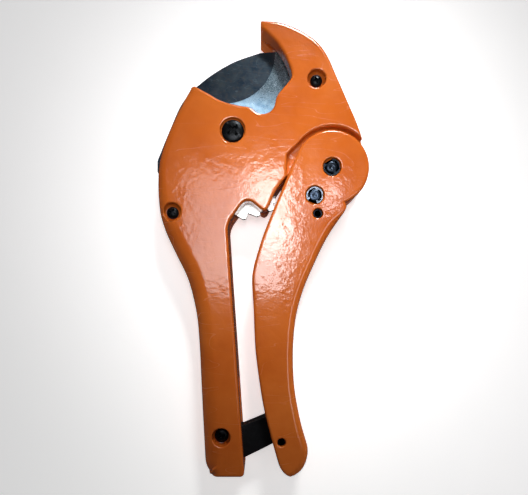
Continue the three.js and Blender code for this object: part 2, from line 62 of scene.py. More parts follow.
BLADE_PIVOT = axis_of("blade_screw")
HANDLE_PIVOT = axis_of("handle_pin")
PAWL_PIVOT = axis_of("pawl_pin")
SPRING_ANCHOR = axis_of("spring_anchor_pin")
LATCH_CATCH = axis_of("latch_catch_pin")
LATCH_PIVOT = axis_of("latch_screw")
SCREW_TOP = axis_of("body_screw_top")
SCREW_LEFT = axis_of("body_screw_left")

# Materials --------------------------------------------------------------------------------------


class Shader:
    """A small helper for building one node material."""

    def __init__(self, name):
        self.material = bpy.data.materials.new(name)
        self.material.use_nodes = True
        self.tree = self.material.node_tree
        self.tree.nodes.clear()
        self.output = self.tree.nodes.new("ShaderNodeOutputMaterial")
        self.principled = self.tree.nodes.new("ShaderNodeBsdfPrincipled")
        self.link(self.principled.outputs["BSDF"], self.output.inputs["Surface"])
        self.place = self.tree.nodes.new("ShaderNodeTexCoord").outputs["Object"]

    def link(self, start, end):
        self.tree.links.new(start, end)

    def set(self, **values):
        """Sets the surface's own sockets; an underscore stands for a space in a socket's name."""
        for key, value in values.items():
            self.principled.inputs[key.replace("_", " ")].default_value = value

    def stretched(self, scale):
        mapping = self.tree.nodes.new("ShaderNodeMapping")
        mapping.inputs["Scale"].default_value = scale
        self.link(self.place, mapping.inputs["Vector"])
        return mapping.outputs["Vector"]

    def noise(self, scale, detail=2.0, roughness=0.5, distortion=0.0, stretch=None):
        node = self.tree.nodes.new("ShaderNodeTexNoise")
        node.inputs["Scale"].default_value = scale
        node.inputs["Detail"].default_value = detail
        node.inputs["Roughness"].default_value = roughness
        node.inputs["Distortion"].default_value = distortion
        self.link(self.stretched(stretch) if stretch else self.place, node.inputs["Vector"])
        return node.outputs["Fac"]

    def scratches(self, scale, stretch, width):
        """Thin lines where a stretched noise crosses its middle value."""
        value = self.noise(scale, 1.0, 0.5, 0.6, stretch)
        away = self.math("ABSOLUTE", self.math("SUBTRACT", value, 0.5))
        return self.ramp(away, [(0.0, 1.0), (width, 0.0)])

    def voronoi(self, scale):
        node = self.tree.nodes.new("ShaderNodeTexVoronoi")
        node.inputs["Scale"].default_value = scale
        self.link(self.place, node.inputs["Vector"])
        return node.outputs["Distance"]

    def math(self, operation, a, b=None, clamp=False):
        node = self.tree.nodes.new("ShaderNodeMath")
        node.operation = operation
        node.use_clamp = clamp
        for socket, value in zip(node.inputs, (a, b)):
            if value is None:
                continue
            if isinstance(value, (int, float)):
                socket.default_value = value
            else:
                self.link(value, socket)
        return node.outputs[0]

    def ramp(self, value, stops):
        """Maps a value through (position, grey or colour) stops."""
        node = self.tree.nodes.new("ShaderNodeValToRGB")
        ramp = node.color_ramp
        while len(ramp.elements) < len(stops):
            ramp.elements.new(0.5)
        for element, (position, color) in zip(ramp.elements, stops):
            element.position = position
            if isinstance(color, (int, float)):
                color = (color, color, color)
            element.color = (*color, 1)
        self.link(value, node.inputs["Fac"])
        return node.outputs["Color"]

    def mix(self, factor, a, b):
        """Colour a where the factor is 0 and colour b where it is 1."""
        node = self.tree.nodes.new("ShaderNodeMix")
        node.data_type = "RGBA"
        sockets = {socket.identifier: socket for socket in node.inputs}
        for name, value in (("Factor_Float", factor), ("A_Color", a), ("B_Color", b)):
            socket = sockets[name]
            if isinstance(value, (int, float)):
                socket.default_value = value
            elif isinstance(value, tuple):
                socket.default_value = (*value, 1)
            else:
                self.link(value, socket)
        return next(s for s in node.outputs if s.identifier == "Result_Color")

    def along_y(self):
        """The place on the object along its length."""
        split = self.tree.nodes.new("ShaderNodeSeparateXYZ")
        self.link(self.place, split.inputs["Vector"])
        return split.outputs["Y"]

    def edges(self, low, high):
        """1 on sharp outer edges, from the mesh's pointiness. It needs a dense mesh."""
        geometry = self.tree.nodes.new("ShaderNodeNewGeometry")
        return self.ramp(geometry.outputs["Pointiness"], [(low, 0.0), (high, 1.0)])

    def hollows(self, low, high):
        """1 in grooves and inner corners. It needs a dense mesh."""
        geometry = self.tree.nodes.new("ShaderNodeNewGeometry")
        return self.ramp(geometry.outputs["Pointiness"], [(low, 1.0), (high, 0.0)])

    def bump(self, layers):
        """Bump nodes in a chain: (height, distance in metres, strength) from coarse to fine."""
        normal = None
        for height, distance, strength in layers:
            node = self.tree.nodes.new("ShaderNodeBump")
            node.inputs["Distance"].default_value = distance
            node.inputs["Strength"].default_value = strength
            self.link(height, node.inputs["Height"])
            if normal is not None:
                self.link(normal, node.inputs["Normal"])
            normal = node.outputs["Normal"]
        self.link(normal, self.principled.inputs["Normal"])
        return normal


def orange_enamel():
    """Glossy paint on a casting: uneven underneath, with a painted highlight on its edges and painted shade in
    its corners, chipped here and there.
    """
    s = Shader("orange_enamel")
    patches = s.noise(38, 4, 0.55)
    base = s.ramp(patches, [
        (0.3, (0.60, 0.118, 0.012)), (0.5, (0.68, 0.148, 0.017)), (0.72, (0.75, 0.18, 0.025)),
    ])
    # Painted highlight: a lighter orange on sharp edges.
    edge = s.edges(0.53, 0.66)
    base = s.mix(s.math("MULTIPLY", edge, 0.35), base, (0.86, 0.33, 0.10))
    # Painted shade: a dark orange in grooves and inner corners.
    painted_shade = s.math("MULTIPLY", s.hollows(0.40, 0.49), 0.75)
    base = s.mix(painted_shade, base, (0.22, 0.035, 0.008))
    chips = s.ramp(s.voronoi(420), [(0.0, 1.0), (0.07, 0.0)])
    chips = s.math("MULTIPLY", chips, s.ramp(s.noise(60, 2), [(0.6, 0.0), (0.68, 1.0)]))
    base = s.mix(s.math("MULTIPLY", chips, 0.5), base, (0.35, 0.09, 0.03))
    s.link(base, s.principled.inputs["Base Color"])
    rough = s.ramp(s.noise(140, 5, 0.6), [(0.3, 0.12), (0.7, 0.24)])
    scuffs = s.scratches(26, (1.0, 5.0, 1.0), 0.012)
    rough = s.math("ADD", rough, s.math("MULTIPLY", scuffs, 0.12))
    s.link(rough, s.principled.inputs["Roughness"])
    s.set(IOR=1.52, Coat_Weight=0.8, Coat_Roughness=0.05, Coat_IOR=1.5)
    normal = s.bump([
        (s.noise(330, 2, 0.5), 0.00022, 0.5),
        (s.noise(1500, 2, 0.5), 0.00004, 0.5),
        (scuffs, 0.00002, 0.4),
    ])
    s.link(normal, s.principled.inputs["Coat Normal"])
    return s.material


def steel(name, dark, light, rough, grain=(1.0, 1.0, 1.0), grain_scale=900, stains=None, relief=0.6,
          polished_highlit_below=None):
    """Bare or blued steel; stains also adds light marks, and below the Y of the last argument it is polished,
    painted brighter as a highlight.
    """
    s = Shader(name)
    cloud = s.noise(170, 5, 0.6)
    base = s.ramp(cloud, [(0.3, dark), (0.7, light)])
    marks = s.scratches(90, (1.0, 4.0, 1.0), 0.01)
    if stains:
        spots = s.ramp(s.noise(520, 4, 0.65), [(0.5, 0.0), (0.68, 1.0)])
        base = s.mix(s.math("MULTIPLY", spots, 0.7), base, stains)
        base = s.mix(s.math("MULTIPLY", marks, 0.35), base, tuple(2.5 * value for value in light))
    if polished_highlit_below is not None:
        # Below the given Y: polished steel, painted brighter as a highlight on the ratchet rim.
        below = s.math("DIVIDE", s.math("SUBTRACT", polished_highlit_below, s.along_y()), POLISH_HIGHLIGHT_FADE, clamp=True)
        polish_and_painted_highlight = s.ramp(cloud, [(0.3, (0.55, 0.56, 0.54)), (0.7, (0.85, 0.86, 0.84))])
        base = s.mix(below, base, polish_and_painted_highlight)
    s.link(base, s.principled.inputs["Base Color"])
    lines = s.noise(grain_scale, 3, 0.6, 0.0, grain)
    s.link(s.ramp(lines, [(0.3, rough - 0.08), (0.7, rough + 0.08)]), s.principled.inputs["Roughness"])
    s.set(Metallic=1.0)
    s.bump([(lines, 0.00003, relief), (marks, 0.00002, relief)])
    return s.material


def ground_steel(name):
    """The blade's ground bevel: speckled and dull towards the tip, with a painted highlight towards the heel.
    """
    s = Shader(name)
    wander = s.math("MULTIPLY", s.math("SUBTRACT", s.noise(260, 4, 0.6), 0.5), 0.006)
    height = s.math("ADD", s.along_y(), wander)
    along = s.math("DIVIDE", s.math("SUBTRACT", height, HEEL), TIP - HEEL, clamp=True)
    speckle = s.noise(2400, 3, 0.7)
    dull = s.ramp(speckle, [
        (0.35, (0.05, 0.085, 0.11)), (0.52, (0.13, 0.19, 0.23)), (0.72, (0.42, 0.52, 0.6)),
    ])
    # Painted highlight: a brighter blue steel towards the heel.
    bright = s.ramp(s.noise(420, 5, 0.65), [(0.3, (0.14, 0.26, 0.38)), (0.7, (0.34, 0.50, 0.62))])
    s.link(s.mix(s.ramp(along, [(0.25, 0.0), (0.8, 1.0)]), bright, dull), s.principled.inputs["Base Color"])
    s.link(s.ramp(speckle, [(0.3, 0.24), (0.7, 0.42)]), s.principled.inputs["Roughness"])
    s.set(Metallic=1.0)
    lines = s.noise(900, 3, 0.6, 0.0, (6.0, 1.0, 1.0))
    s.bump([(lines, 0.00002, 0.25), (speckle, 0.00001, 0.4)])
    return s.material


def black_finish(name, base_dark, base_light, metallic, rough, wear):
    """A black coating that shows grey metal on its edges."""
    s = Shader(name)
    base = s.ramp(s.noise(240, 4, 0.6), [(0.3, base_dark), (0.7, base_light)])
    broken = s.ramp(s.noise(900, 3), [(0.35, 0.2), (0.6, 1.0)])
    edge = s.math("MULTIPLY", s.edges(0.54, 0.66), broken)
    base = s.mix(s.math("MULTIPLY", edge, wear), base, (0.42, 0.44, 0.47))
    s.link(base, s.principled.inputs["Base Color"])
    grain = s.noise(1600, 3, 0.6)
    s.link(s.ramp(grain, [(0.3, rough - 0.07), (0.7, rough + 0.09)]), s.principled.inputs["Roughness"])
    s.set(Metallic=metallic, Specular_IOR_Level=0.25)
    s.bump([(grain, 0.00003, 0.5), (s.scratches(120, (3.0, 1.0, 1.0), 0.012), 0.00002, 0.5)])
    return s.material


# The blade's ground bevel has a painted highlight at its heel and is dull at its tip, and its ratchet rim is
# polished, painted brighter as a highlight.
HEEL = BLADE_PIVOT.y + 11.5 * MM
TIP = BLADE_PIVOT.y + 25.5 * MM
RATCHET_TOP = BLADE_PIVOT.y - 26 * MM
POLISH_HIGHLIGHT_FADE = 4 * MM

ENAMEL = orange_enamel()
BLADE_FLAT = steel("blade_flat", (0.018, 0.031, 0.050), (0.050, 0.066, 0.080), 0.38, (1, 6, 1), 1100,
                   (0.058, 0.055, 0.055), 0.3, RATCHET_TOP)
BLADE_GRIND = ground_steel("blade_ground")
PIN_STEEL = steel("pin_steel", (0.03, 0.045, 0.07), (0.07, 0.10, 0.15), 0.30)
CLIP_STEEL = steel("clip_steel", (0.12, 0.15, 0.19), (0.24, 0.29, 0.36), 0.22)
# Darker copies of pin and clip steel: painted shade on the handle pin and its clips in the body's recess; the
# roll pins share the dark pin steel.
PIN_DARK_AND_SHADED = steel("pin_dark_and_shaded", (0.012, 0.016, 0.024), (0.03, 0.04, 0.055), 0.30)
CLIP_SHADED = steel("clip_shaded", (0.015, 0.02, 0.028), (0.04, 0.055, 0.07), 0.28)
SPRING_STEEL = steel("spring_wire", (0.42, 0.42, 0.42), (0.66, 0.66, 0.66), 0.28)
PAWL_STEEL = steel("pawl_steel", (0.50, 0.50, 0.48), (0.80, 0.79, 0.76), 0.25)
BLACK_OXIDE = black_finish("black_oxide", (0.004, 0.005, 0.006), (0.012, 0.014, 0.017), 0.7, 0.30, 0.4)
LATCH_BLACK = black_finish("latch_black", (0.002, 0.0022, 0.003), (0.006, 0.0065, 0.008), 0.0, 0.34, 0.06)

LOOKS = {  # CAD nodes that stay visible
    "blade_bushing": PIN_STEEL, "blade_spring": SPRING_STEEL, "holding_pawl": PAWL_STEEL,
    "holding_pawl_pin": PIN_STEEL, "holding_pawl_spring": SPRING_STEEL, "handle_spring": SPRING_STEEL,
    "drive_pawl": PAWL_STEEL, "pawl_spring": SPRING_STEEL, "latch": LATCH_BLACK,
}
for node, look in LOOKS.items():
    NODES[node].data.materials.clear()
    NODES[node].data.materials.append(look)

# Castings ---------------------------------------------------------------------------------------

BELOW_BEVEL = 1.4537 * MM  # depth under a face with the CAD solid's full outline, and no vertex on it
CORNER = math.radians(24)  # sharper turns of an outline stay corners
FACETING = math.radians(0.15)  # smaller turns of an outline are points on a straight line
OUTLINE_STEP = 0.25 * MM
SHORTEST_EDGE = 0.01 * MM
LARGE_FILLET = 2 * MM  # larger fillets are looked up on their own
GRID = 2e6  # steps per metre on which outline points are matched
VOXEL = 0.45 * MM
SNAP = 0.32 * MM  # how far a remeshed vertex may move onto the true surface
WALL_OVERLAP = 0.05 * MM


def coordinates(mesh):
    flat = np.zeros(len(mesh.vertices) * 3)
    mesh.vertices.foreach_get("co", flat)
    return flat.reshape(-1, 3)


def triangles(mesh):
    mesh.calc_loop_triangles()
    flat = np.zeros(len(mesh.loop_triangles) * 3, np.int32)
    mesh.loop_triangles.foreach_get("vertices", flat)
    return flat.reshape(-1, 3)


def sliced(mesh, height):
    """The mesh's outlines at a height: closed loops of 2D points, with the solid on their left."""
    corners = coordinates(mesh)[triangles(mesh)]
    normals = np.cross(corners[:, 1] - corners[:, 0], corners[:, 2] - corners[:, 0])
    follow = {}
    for triangle, normal in zip(corners, normals):
        above = triangle[:, 2] > height
        if above.all() or not above.any():
            continue
        ends = []
        for a, b in ((0, 1), (1, 2), (2, 0)):
            if above[a] != above[b]:
                t = (height - triangle[a, 2]) / (triangle[b, 2] - triangle[a, 2])
                ends.append(triangle[a, :2] + t * (triangle[b, :2] - triangle[a, :2]))
        along = ends[1] - ends[0]
        if along @ np.array((-normal[1], normal[0])) < 0:
            ends.reverse()
        start, end = (tuple(np.round(p * GRID).astype(int)) for p in ends)
        if start != end:
            follow[start] = end
    loops = []
    while follow:
        start, here = follow.popitem()
        loop = [start]
        while here != start and here in follow:
            loop.append(here)
            here = follow.pop(here)
        if here == start and len(loop) > 2:
            loops.append(np.array(loop) / GRID)
    return loops


def turning(loop):
    """The angle by which a closed outline turns at each point."""
    before = loop - np.roll(loop, 1, 0)
    after = np.roll(loop, -1, 0) - loop
    cross = before[:, 0] * after[:, 1] - before[:, 1] * after[:, 0]
    return np.arctan2(cross, (before * after).sum(1))


def smoothed(loop):
    """The faceted loop as dense points on a smooth curve through its corners, with outward normals."""
    step = np.linalg.norm(loop - np.roll(loop, 1, 0), axis=1)
    loop = loop[step > SHORTEST_EDGE]
    loop = loop[np.abs(turning(loop)) > FACETING]
    sharp = np.abs(turning(loop)) > CORNER
    places, normals = [], []
    count = len(loop)
    for i in range(count):
        before, start, end, after = (loop[(i + k) % count] for k in (-1, 0, 1, 2))
        chord = np.linalg.norm(end - start)
        leave = end - start if sharp[i] else end - before
        arrive = end - start if sharp[(i + 1) % count] else after - start
        leave = leave / np.linalg.norm(leave) * chord
        arrive = arrive / np.linalg.norm(arrive) * chord
        t = np.linspace(0, 1, max(2, int(chord / OUTLINE_STEP)), endpoint=False)[:, None]
        places.append((2 * t**3 - 3 * t**2 + 1) * start + (t**3 - 2 * t**2 + t) * leave
                      + (3 * t**2 - 2 * t**3) * end + (t**3 - t**2) * arrive)
        way = ((6 * t**2 - 6 * t) * start + (3 * t**2 - 4 * t + 1) * leave
               + (6 * t - 6 * t**2) * end + (3 * t**2 - 2 * t) * arrive)
        way /= np.linalg.norm(way, axis=1)[:, None]
        normals.append(np.column_stack((way[:, 1], -way[:, 0])))
    return np.vstack(places), np.vstack(normals)


class Rim:
    """The rounded rim of a casting's face: points of its outline, each with a fillet radius."""

    def __init__(self, mesh, height, radius_at):
        self.groups = []
        loops = [smoothed(loop) for loop in sliced(mesh, height)]
        places = np.vstack([p for p, _ in loops])
        normals = np.vstack([n for _, n in loops])
        radii = np.array([radius_at(p / MM, n) for p, n in zip(places, normals)]) * MM
        for chosen in (radii <= LARGE_FILLET, radii > LARGE_FILLET):
            if not chosen.any():
                continue
            tree = KDTree(int(chosen.sum()))
            for i, (x, y) in enumerate(places[chosen]):
                tree.insert((x, y, 0), i)
            tree.balance()
            self.groups.append((tree, places[chosen], normals[chosen], radii[chosen]))

    def nearest(self, points, half):
        """Per point: depth inside the outline, radius, foot on the outline, way in, allowed height."""
        best = None
        for tree, places, normals, radii in self.groups:
            index = np.array([tree.find((x, y, 0))[1] for x, y in points])
            normal = normals[index]
            foot = places[index]
            tangent = np.column_stack((-normal[:, 1], normal[:, 0]))
            slide = ((points - foot) * tangent).sum(1).clip(-OUTLINE_STEP / 2, OUTLINE_STEP / 2)
            foot = foot + tangent * slide[:, None]
            away = points - foot
            distance = np.linalg.norm(away, axis=1)
            outside = ((away * normal).sum(1) > 0) & (distance < 2 * SNAP)
            sign = np.where(outside, -1.0, 1.0)
            inward = np.where((distance > 0.02 * MM)[:, None],
                              sign[:, None] * away / np.maximum(distance, 1e-9)[:, None], -normal)
            depth = sign * distance
            radius = radii[index]
            short = (radius - depth).clip(0, radius)
            allowed = half - radius + np.sqrt(radius**2 - short**2)
            found = [depth, radius, foot, inward, allowed]
            if best is None:
                best = found
                continue
            lower = allowed < best[4]
            for k, values in enumerate(found):
                best[k][lower] = values[lower]
        return best


def voxel_remeshed(obj, size):
    modifier = obj.modifiers.new("remesh", "REMESH")
    modifier.mode = "VOXEL"
    modifier.voxel_size = size
    applied(obj)


def applied(obj):
    """The object's modifiers made part of its mesh."""
    evaluated = obj.evaluated_get(bpy.context.evaluated_depsgraph_get())
    mesh = bpy.data.meshes.new_from_object(evaluated)
    old = obj.data
    obj.modifiers.clear()
    obj.data = mesh
    bpy.data.meshes.remove(old)


def shade_smooth(mesh, sharp=None):
    """Smooth shading, with edges over the sharp angle kept hard."""
    for polygon in mesh.polygons:
        polygon.use_smooth = True
    if sharp is not None:
        mesh.set_sharp_from_angle(angle=sharp)


def place_vertices(mesh, points):
    mesh.vertices.foreach_set("co", points.ravel())
    mesh.update()


def rounded_casting(node, sides):
    """A copy of a cast CAD node with rounded rims; sides has (1 for front or -1, radius function)."""
    obj = bpy.data.objects.new(node + "_casting", NODES[node].data.copy())
    bpy.context.scene.collection.objects.link(obj)
    low, high = (np.array(corner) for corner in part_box(node))
    half = TOP - MIDDLE
    rims = {side: Rim(obj.data, MIDDLE + side * (half - BELOW_BEVEL), radius) for side, radius in sides}
    voxel_remeshed(obj, VOXEL)
    points = coordinates(obj.data)
    for side, rim in rims.items():
        chosen = side * (points[:, 2] - MIDDLE) > 0
        height = side * (points[chosen, 2] - MIDDLE)
        allowed = rim.nearest(points[chosen, :2], half)[4]
        points[chosen, 2] = MIDDLE + side * np.minimum(height, allowed)
    place_vertices(obj.data, points)
    voxel_remeshed(obj, VOXEL)
    points = coordinates(obj.data)
    for side, rim in rims.items():
        chosen = np.flatnonzero(side * (points[:, 2] - MIDDLE) > 0)
        height = side * (points[chosen, 2] - MIDDLE)
        depth, radius, foot, inward, _ = rim.nearest(points[chosen, :2], half)
        rise = height - (half - radius)
        away = np.hypot(radius - depth, rise)
        fillet = (rise > -WALL_OVERLAP) & (depth < radius) & (np.abs(away - radius) < SNAP)
        face = (depth >= radius) & (np.abs(height - half) < SNAP)
        wall = (rise <= -WALL_OVERLAP) & (np.abs(depth) < SNAP)
        pull = (radius / np.maximum(away, 1e-9))[fillet]
        new_depth = radius[fillet] - (radius - depth)[fillet] * pull
        points[chosen[fillet], :2] = foot[fillet] + inward[fillet] * new_depth[:, None]
        points[chosen[fillet], 2] = MIDDLE + side * ((half - radius)[fillet] + rise[fillet] * pull)
        points[chosen[face], 2] = MIDDLE + side * half
        points[chosen[wall], :2] = foot[wall]
    place_vertices(obj.data, np.clip(points, low, high))
    shade_smooth(obj.data)
    obj.data.materials.clear()
    obj.data.materials.append(ENAMEL)
    return obj


def blend(value, start, end):
    """0 below start, 1 above end, smooth between."""
    t = min(max((value - start) / (end - start), 0), 1)
    return t * t * (3 - 2 * t)


def near(point, axis, radius):
    return math.hypot(point[0] - axis.x / MM, point[1] - axis.y / MM) < radius


def rims_hole(point, normal, axis, radius):
    """Whether a point of a rim is on a hole round the axis, and not on the outline passing near it."""
    return near(point, axis, radius) and normal @ (np.array(axis.xy) / MM - point) > 0


RIM = 1.3  # the usual fillet radius, mm


def body_radius(point, normal):
    """Fillet radius in mm along the body's rim, for a point in mm and its outward normal."""
    if any(rims_hole(point, normal, axis, 6.5) for axis in (SCREW_TOP, SCREW_LEFT, LATCH_PIVOT, BLADE_PIVOT)):
        return 0.35
    if rims_hole(point, normal, HANDLE_PIVOT, 23.5):
        return 0.9
    if point[0] > -15:
        return RIM
    outer = 4.0 + 4.0 * blend(-point[1], -40, 0)
    return RIM + (outer - RIM) * blend(-normal[0], 0.25, 0.8)


def handle_radius(point, normal):
    """Fillet radius in mm along the movable handle's rim."""
    if any(near(point, axis, 5.2) for axis in (HANDLE_PIVOT, PAWL_PIVOT)):
        return 0.3
    if any(near(point, axis, 2.6) for axis in (SPRING_ANCHOR, LATCH_CATCH)):
        return 0.3
    outer = RIM + 2.2 * blend(-point[1], -18, -10)
    return RIM + (outer - RIM) * blend(normal[0], 0.0, 0.5)


CASTINGS = {
    "body_front": ([(1, body_radius)], "body"),
    "body_rear": ([(-1, body_radius)], "body"),
    "movable_handle": ([(1, handle_radius), (-1, handle_radius)], "handle"),
}
for node, (sides, body) in CASTINGS.items():
    piece = rounded_casting(node, sides)
    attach(piece, body)
    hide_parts(node)

# Hardware, in mm --------------------------------------------------------------------------------

NUT_CORNER, NUT_BORE = 5.0, 2.75
PIN_RADIUS, PIN_GROOVE = 2.8, 2.25
CLIP_OUTER, CLIP_INNER, CLIP_PRONG = 4.0, 3.2, 2.35
ROLL_WALL = 0.55
ROLL_SLIT = 9  # half of the slit's opening, in degrees

SHARP = math.radians(32)  # edges turned more than this stay hard


def piece_from(name, body, node, look, mesh):
    """A finished piece that stands for a CAD node and rides on its body."""
    obj = bpy.data.objects.new(name, mesh)
    bpy.context.scene.collection.objects.link(obj)
    mesh.materials.clear()
    mesh.materials.append(look)
    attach(obj, body)
    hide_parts(node)
    return obj


def mesh_of(bm, name, sharp=SHARP):
    """The finished mesh of a bmesh, with smooth shading."""
    bmesh.ops.recalc_face_normals(bm, faces=bm.faces)
    mesh = bpy.data.meshes.new(name)
    bm.to_mesh(mesh)
    bm.free()
    shade_smooth(mesh, sharp)
    return mesh


def polar(axis, radius, angle):
    """The point at a radius in mm and an angle from an axis."""
    return axis.x + radius * MM * math.cos(angle), axis.y + radius * MM * math.sin(angle)


def lathe(axis, profile, segments=72):
    """A turned solid: profile is (radius, height) in mm from the axis at one end to the other end."""
    bm = bmesh.new()
    rings = []
    for radius, height in profile:
        z = height * MM
        if radius == 0:
            rings.append([bm.verts.new((axis.x, axis.y, z))])
            continue
        angles = [2 * math.pi * i / segments for i in range(segments)]
        rings.append([bm.verts.new((*polar(axis, radius, a), z)) for a in angles])
    for lower, upper in zip(rings, rings[1:]):
        for i in range(segments):
            j = (i + 1) % segments
            if len(lower) == 1:
                bm.faces.new((lower[0], upper[i], upper[j]))
            elif len(upper) == 1:
                bm.faces.new((lower[i], lower[j], upper[0]))
            else:
                bm.faces.new((lower[i], lower[j], upper[j], upper[i]))
    return bm


def prism(outline, low, high, rim=0.0):
    """A flat piece of a 2D outline (metres) between two heights in mm, its rims chamfered by rim mm."""
    bm = bmesh.new()
    count = len(outline)
    points = np.array(outline)
    before = points - np.roll(points, 1, 0)
    after = np.roll(points, -1, 0) - points
    before /= np.linalg.norm(before, axis=1)[:, None]
    after /= np.linalg.norm(after, axis=1)[:, None]
    out = np.column_stack((before[:, 1] + after[:, 1], -before[:, 0] - after[:, 0]))
    out /= np.maximum(np.linalg.norm(out, axis=1), 0.5)[:, None]
    area = (points[:, 0] * np.roll(points[:, 1], -1) - points[:, 1] * np.roll(points[:, 0], -1)).sum()
    inset = points - math.copysign(1, area) * out * rim * MM
    layers = [(points, low), (points, high)]
    if rim:
        layers = [(inset, low), (points, low + rim), (points, high - rim), (inset, high)]
    rings = [[bm.verts.new((x, y, z * MM)) for x, y in ring] for ring, z in layers]
    for lower, upper in zip(rings, rings[1:]):
        for i in range(count):
            j = (i + 1) % count
            bm.faces.new((lower[i], lower[j], upper[j], upper[i]))
    bm.faces.new(rings[0])
    bm.faces.new(rings[-1])
    bmesh.ops.triangulate(bm, faces=[f for f in bm.faces if len(f.verts) > 4])
    return bm


def cut(obj, cutter_mesh, operation="DIFFERENCE"):
    """Cuts a solid out of a piece, or keeps what they share."""
    cutter = bpy.data.objects.new("cutter", cutter_mesh)
    bpy.context.scene.collection.objects.link(cutter)
    modifier = obj.modifiers.new("cut", "BOOLEAN")
    modifier.operation = operation
    modifier.solver = "EXACT"
    modifier.object = cutter
    look = obj.data.materials[0]
    applied(obj)
    bpy.data.objects.remove(cutter)
    obj.data.materials.clear()
    obj.data.materials.append(look)
    shade_smooth(obj.data, SHARP)


def cross_cutter(axis, span, width, top, depth, turn):
    """A tapered cross for a screw's recess, wider at the top."""
    bm = bmesh.new()
    half, arm = width / 2, span / 2
    corners = [(half, half), (arm, half * 0.8), (arm, -half * 0.8), (half, -half)]
    rings = []
    for scale, z in ((1.08, top + 0.3), (1.0, top), (0.5, top - depth)):
        ring = []
        for quarter in range(4):
            angle = -quarter * math.pi / 2 + turn
            for x, y in corners[:3]:
                reach = x * (scale if x == arm else 0.75 + 0.25 * scale)
                side = y * (0.55 + 0.45 * scale)
                ring.append(bm.verts.new((
                    axis.x + MM * (reach * math.cos(angle) - side * math.sin(angle)),
                    axis.y + MM * (reach * math.sin(angle) + side * math.cos(angle)),
                    z * MM,
                )))
        rings.append(ring)
    for lower, upper in zip(rings, rings[1:]):
        for i in range(len(lower)):
            j = (i + 1) % len(lower)
            bm.faces.new((lower[i], lower[j], upper[j], upper[i]))
    bm.faces.new(rings[0])
    bm.faces.new(rings[-1])
    return mesh_of(bm, "cross")


def extent(node):
    """Lowest and highest z of a node in mm."""
    low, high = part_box(node)
    return low.z / MM, high.z / MM


def pan_screw(node, axis, radius, rise, shank, threads, span, turn):
    """A pan-head screw: domed head with a cross recess, and a shank with thread grooves near its end."""
    bottom, top = extent(node)
    seat = top - rise
    profile = [(0, bottom), (shank - 0.5, bottom), (shank, bottom + 0.5)]
    z = bottom + 0.5
    for _ in range(threads):
        profile += [(shank, z + 0.15), (shank - 0.3, z + 0.4), (shank, z + 0.65)]
        z += 0.8
    profile += [(shank, seat - 0.05), (radius - 0.2, seat), (radius, seat + 0.15)]
    for step in range(8):
        angle = step / 8 * math.pi / 2
        profile.append((
            radius - (1 - math.cos(angle)) * radius * 0.22,
            seat + 0.15 + (0.72 * rise - 0.15) * math.sin(angle),
        ))
    profile += [(radius * 0.72, seat + 0.84 * rise), (radius * 0.5, seat + 0.94 * rise)]
    profile += [(radius * 0.25, top - 0.01), (0, top)]
    name = node + "_pan"
    obj = piece_from(name, "body", node, BLACK_OXIDE, mesh_of(lathe(axis, profile), name))
    cut(obj, cross_cutter(axis, span, span * 0.26, top, rise * 0.72, math.radians(turn)))


def hex_nut():
    """A nut with rounded corners and a chamfered bore."""
    low, high = extent("blade_nut")
    outline = [polar(BLADE_PIVOT, NUT_CORNER, math.radians(60 * k)) for k in range(6)]
    mesh = mesh_of(prism(outline, low, high), "nut", math.radians(25))
    obj = piece_from("blade_nut_hex", "body", "blade_nut", BLACK_OXIDE, mesh)
    below = low - 0.2
    cone = [(0, below), (4.05, below), (4.05, low), (5.3, low + 0.75)]
    cone += [(5.3, high - 0.4), (4.6, high), (0, high)]
    cut(obj, mesh_of(lathe(BLADE_PIVOT, cone), "cone"), "INTERSECT")
    bore = [(0, low - 1), (3.1, low - 1), (3.1, low)]
    bore += [(NUT_BORE, low + 0.35), (NUT_BORE, high + 1), (0, high + 1)]
    cut(obj, mesh_of(lathe(BLADE_PIVOT, bore, 48), "bore"))


def grooved_pin(node, axis, body, look):
    """A turned pin with chamfered ends and a groove for a clip near each end."""
    bottom, top = extent(node)
    name = node + "_turned"
    half = [(0, 0.12), (0.5, 0.12), (0.7, 0), (2.2, 0), (2.55, 0.2)]
    half += [(PIN_GROOVE, 0.25), (PIN_GROOVE, 1.05), (2.6, 1.06), (PIN_RADIUS, 1.25)]
    profile = [(radius, bottom + depth) for radius, depth in half]
    profile += [(radius, top - depth) for radius, depth in reversed(half)]
    return piece_from(name, body, node, look, mesh_of(lathe(axis, profile), name))


def e_clip(node, name, axis, body, mouth, look):
    """An E-clip: an open ring with three prongs that sit in the pin's groove."""
    low, high = extent(node)
    angles = np.radians(np.linspace(mouth + 34, mouth + 326, 90))

    def from_nearest(angle, places):
        """Degrees from an angle to the nearest of some places, which are counted from the mouth."""
        return min(abs((math.degrees(angle) - mouth - at + 180) % 360 - 180) for at in places)

    def bore(angle):
        return CLIP_INNER - (CLIP_INNER - CLIP_PRONG) * blend(-from_nearest(angle, (38, 180, 322)), -17, -11)

    def rim(angle):
        return CLIP_OUTER - 0.28 * blend(-from_nearest(angle, (110, 250)), -22, -6)

    outline = [polar(axis, rim(a), a) for a in angles] + [polar(axis, bore(a), a) for a in angles[::-1]]
    mesh = mesh_of(prism(outline, low, high, 0.1), name, math.radians(28))
    return piece_from(name, body, node, look, mesh)


def roll_pin(node, name, axis, radius, body):
    """A rolled spring pin with chamfered ends and an open slit."""
    low, high = extent(node)
    angles = np.radians(np.linspace(-90 + ROLL_SLIT, 270 - ROLL_SLIT, 64))
    outline = [polar(axis, radius, a) for a in angles]
    outline += [polar(axis, radius - ROLL_WALL, a) for a in angles[::-1]]
    return piece_from(name, body, node, PIN_DARK_AND_SHADED, mesh_of(prism(outline, low, high, 0.16), name))


def add_bevel(obj, width, angle):
    """Small bevels on edges over an angle in degrees, so that they catch the light."""
    bevel = obj.modifiers.new("eased", "BEVEL")
    bevel.width = width * MM
    bevel.segments = 2
    bevel.limit_method = "ANGLE"
    bevel.angle_limit = math.radians(angle)


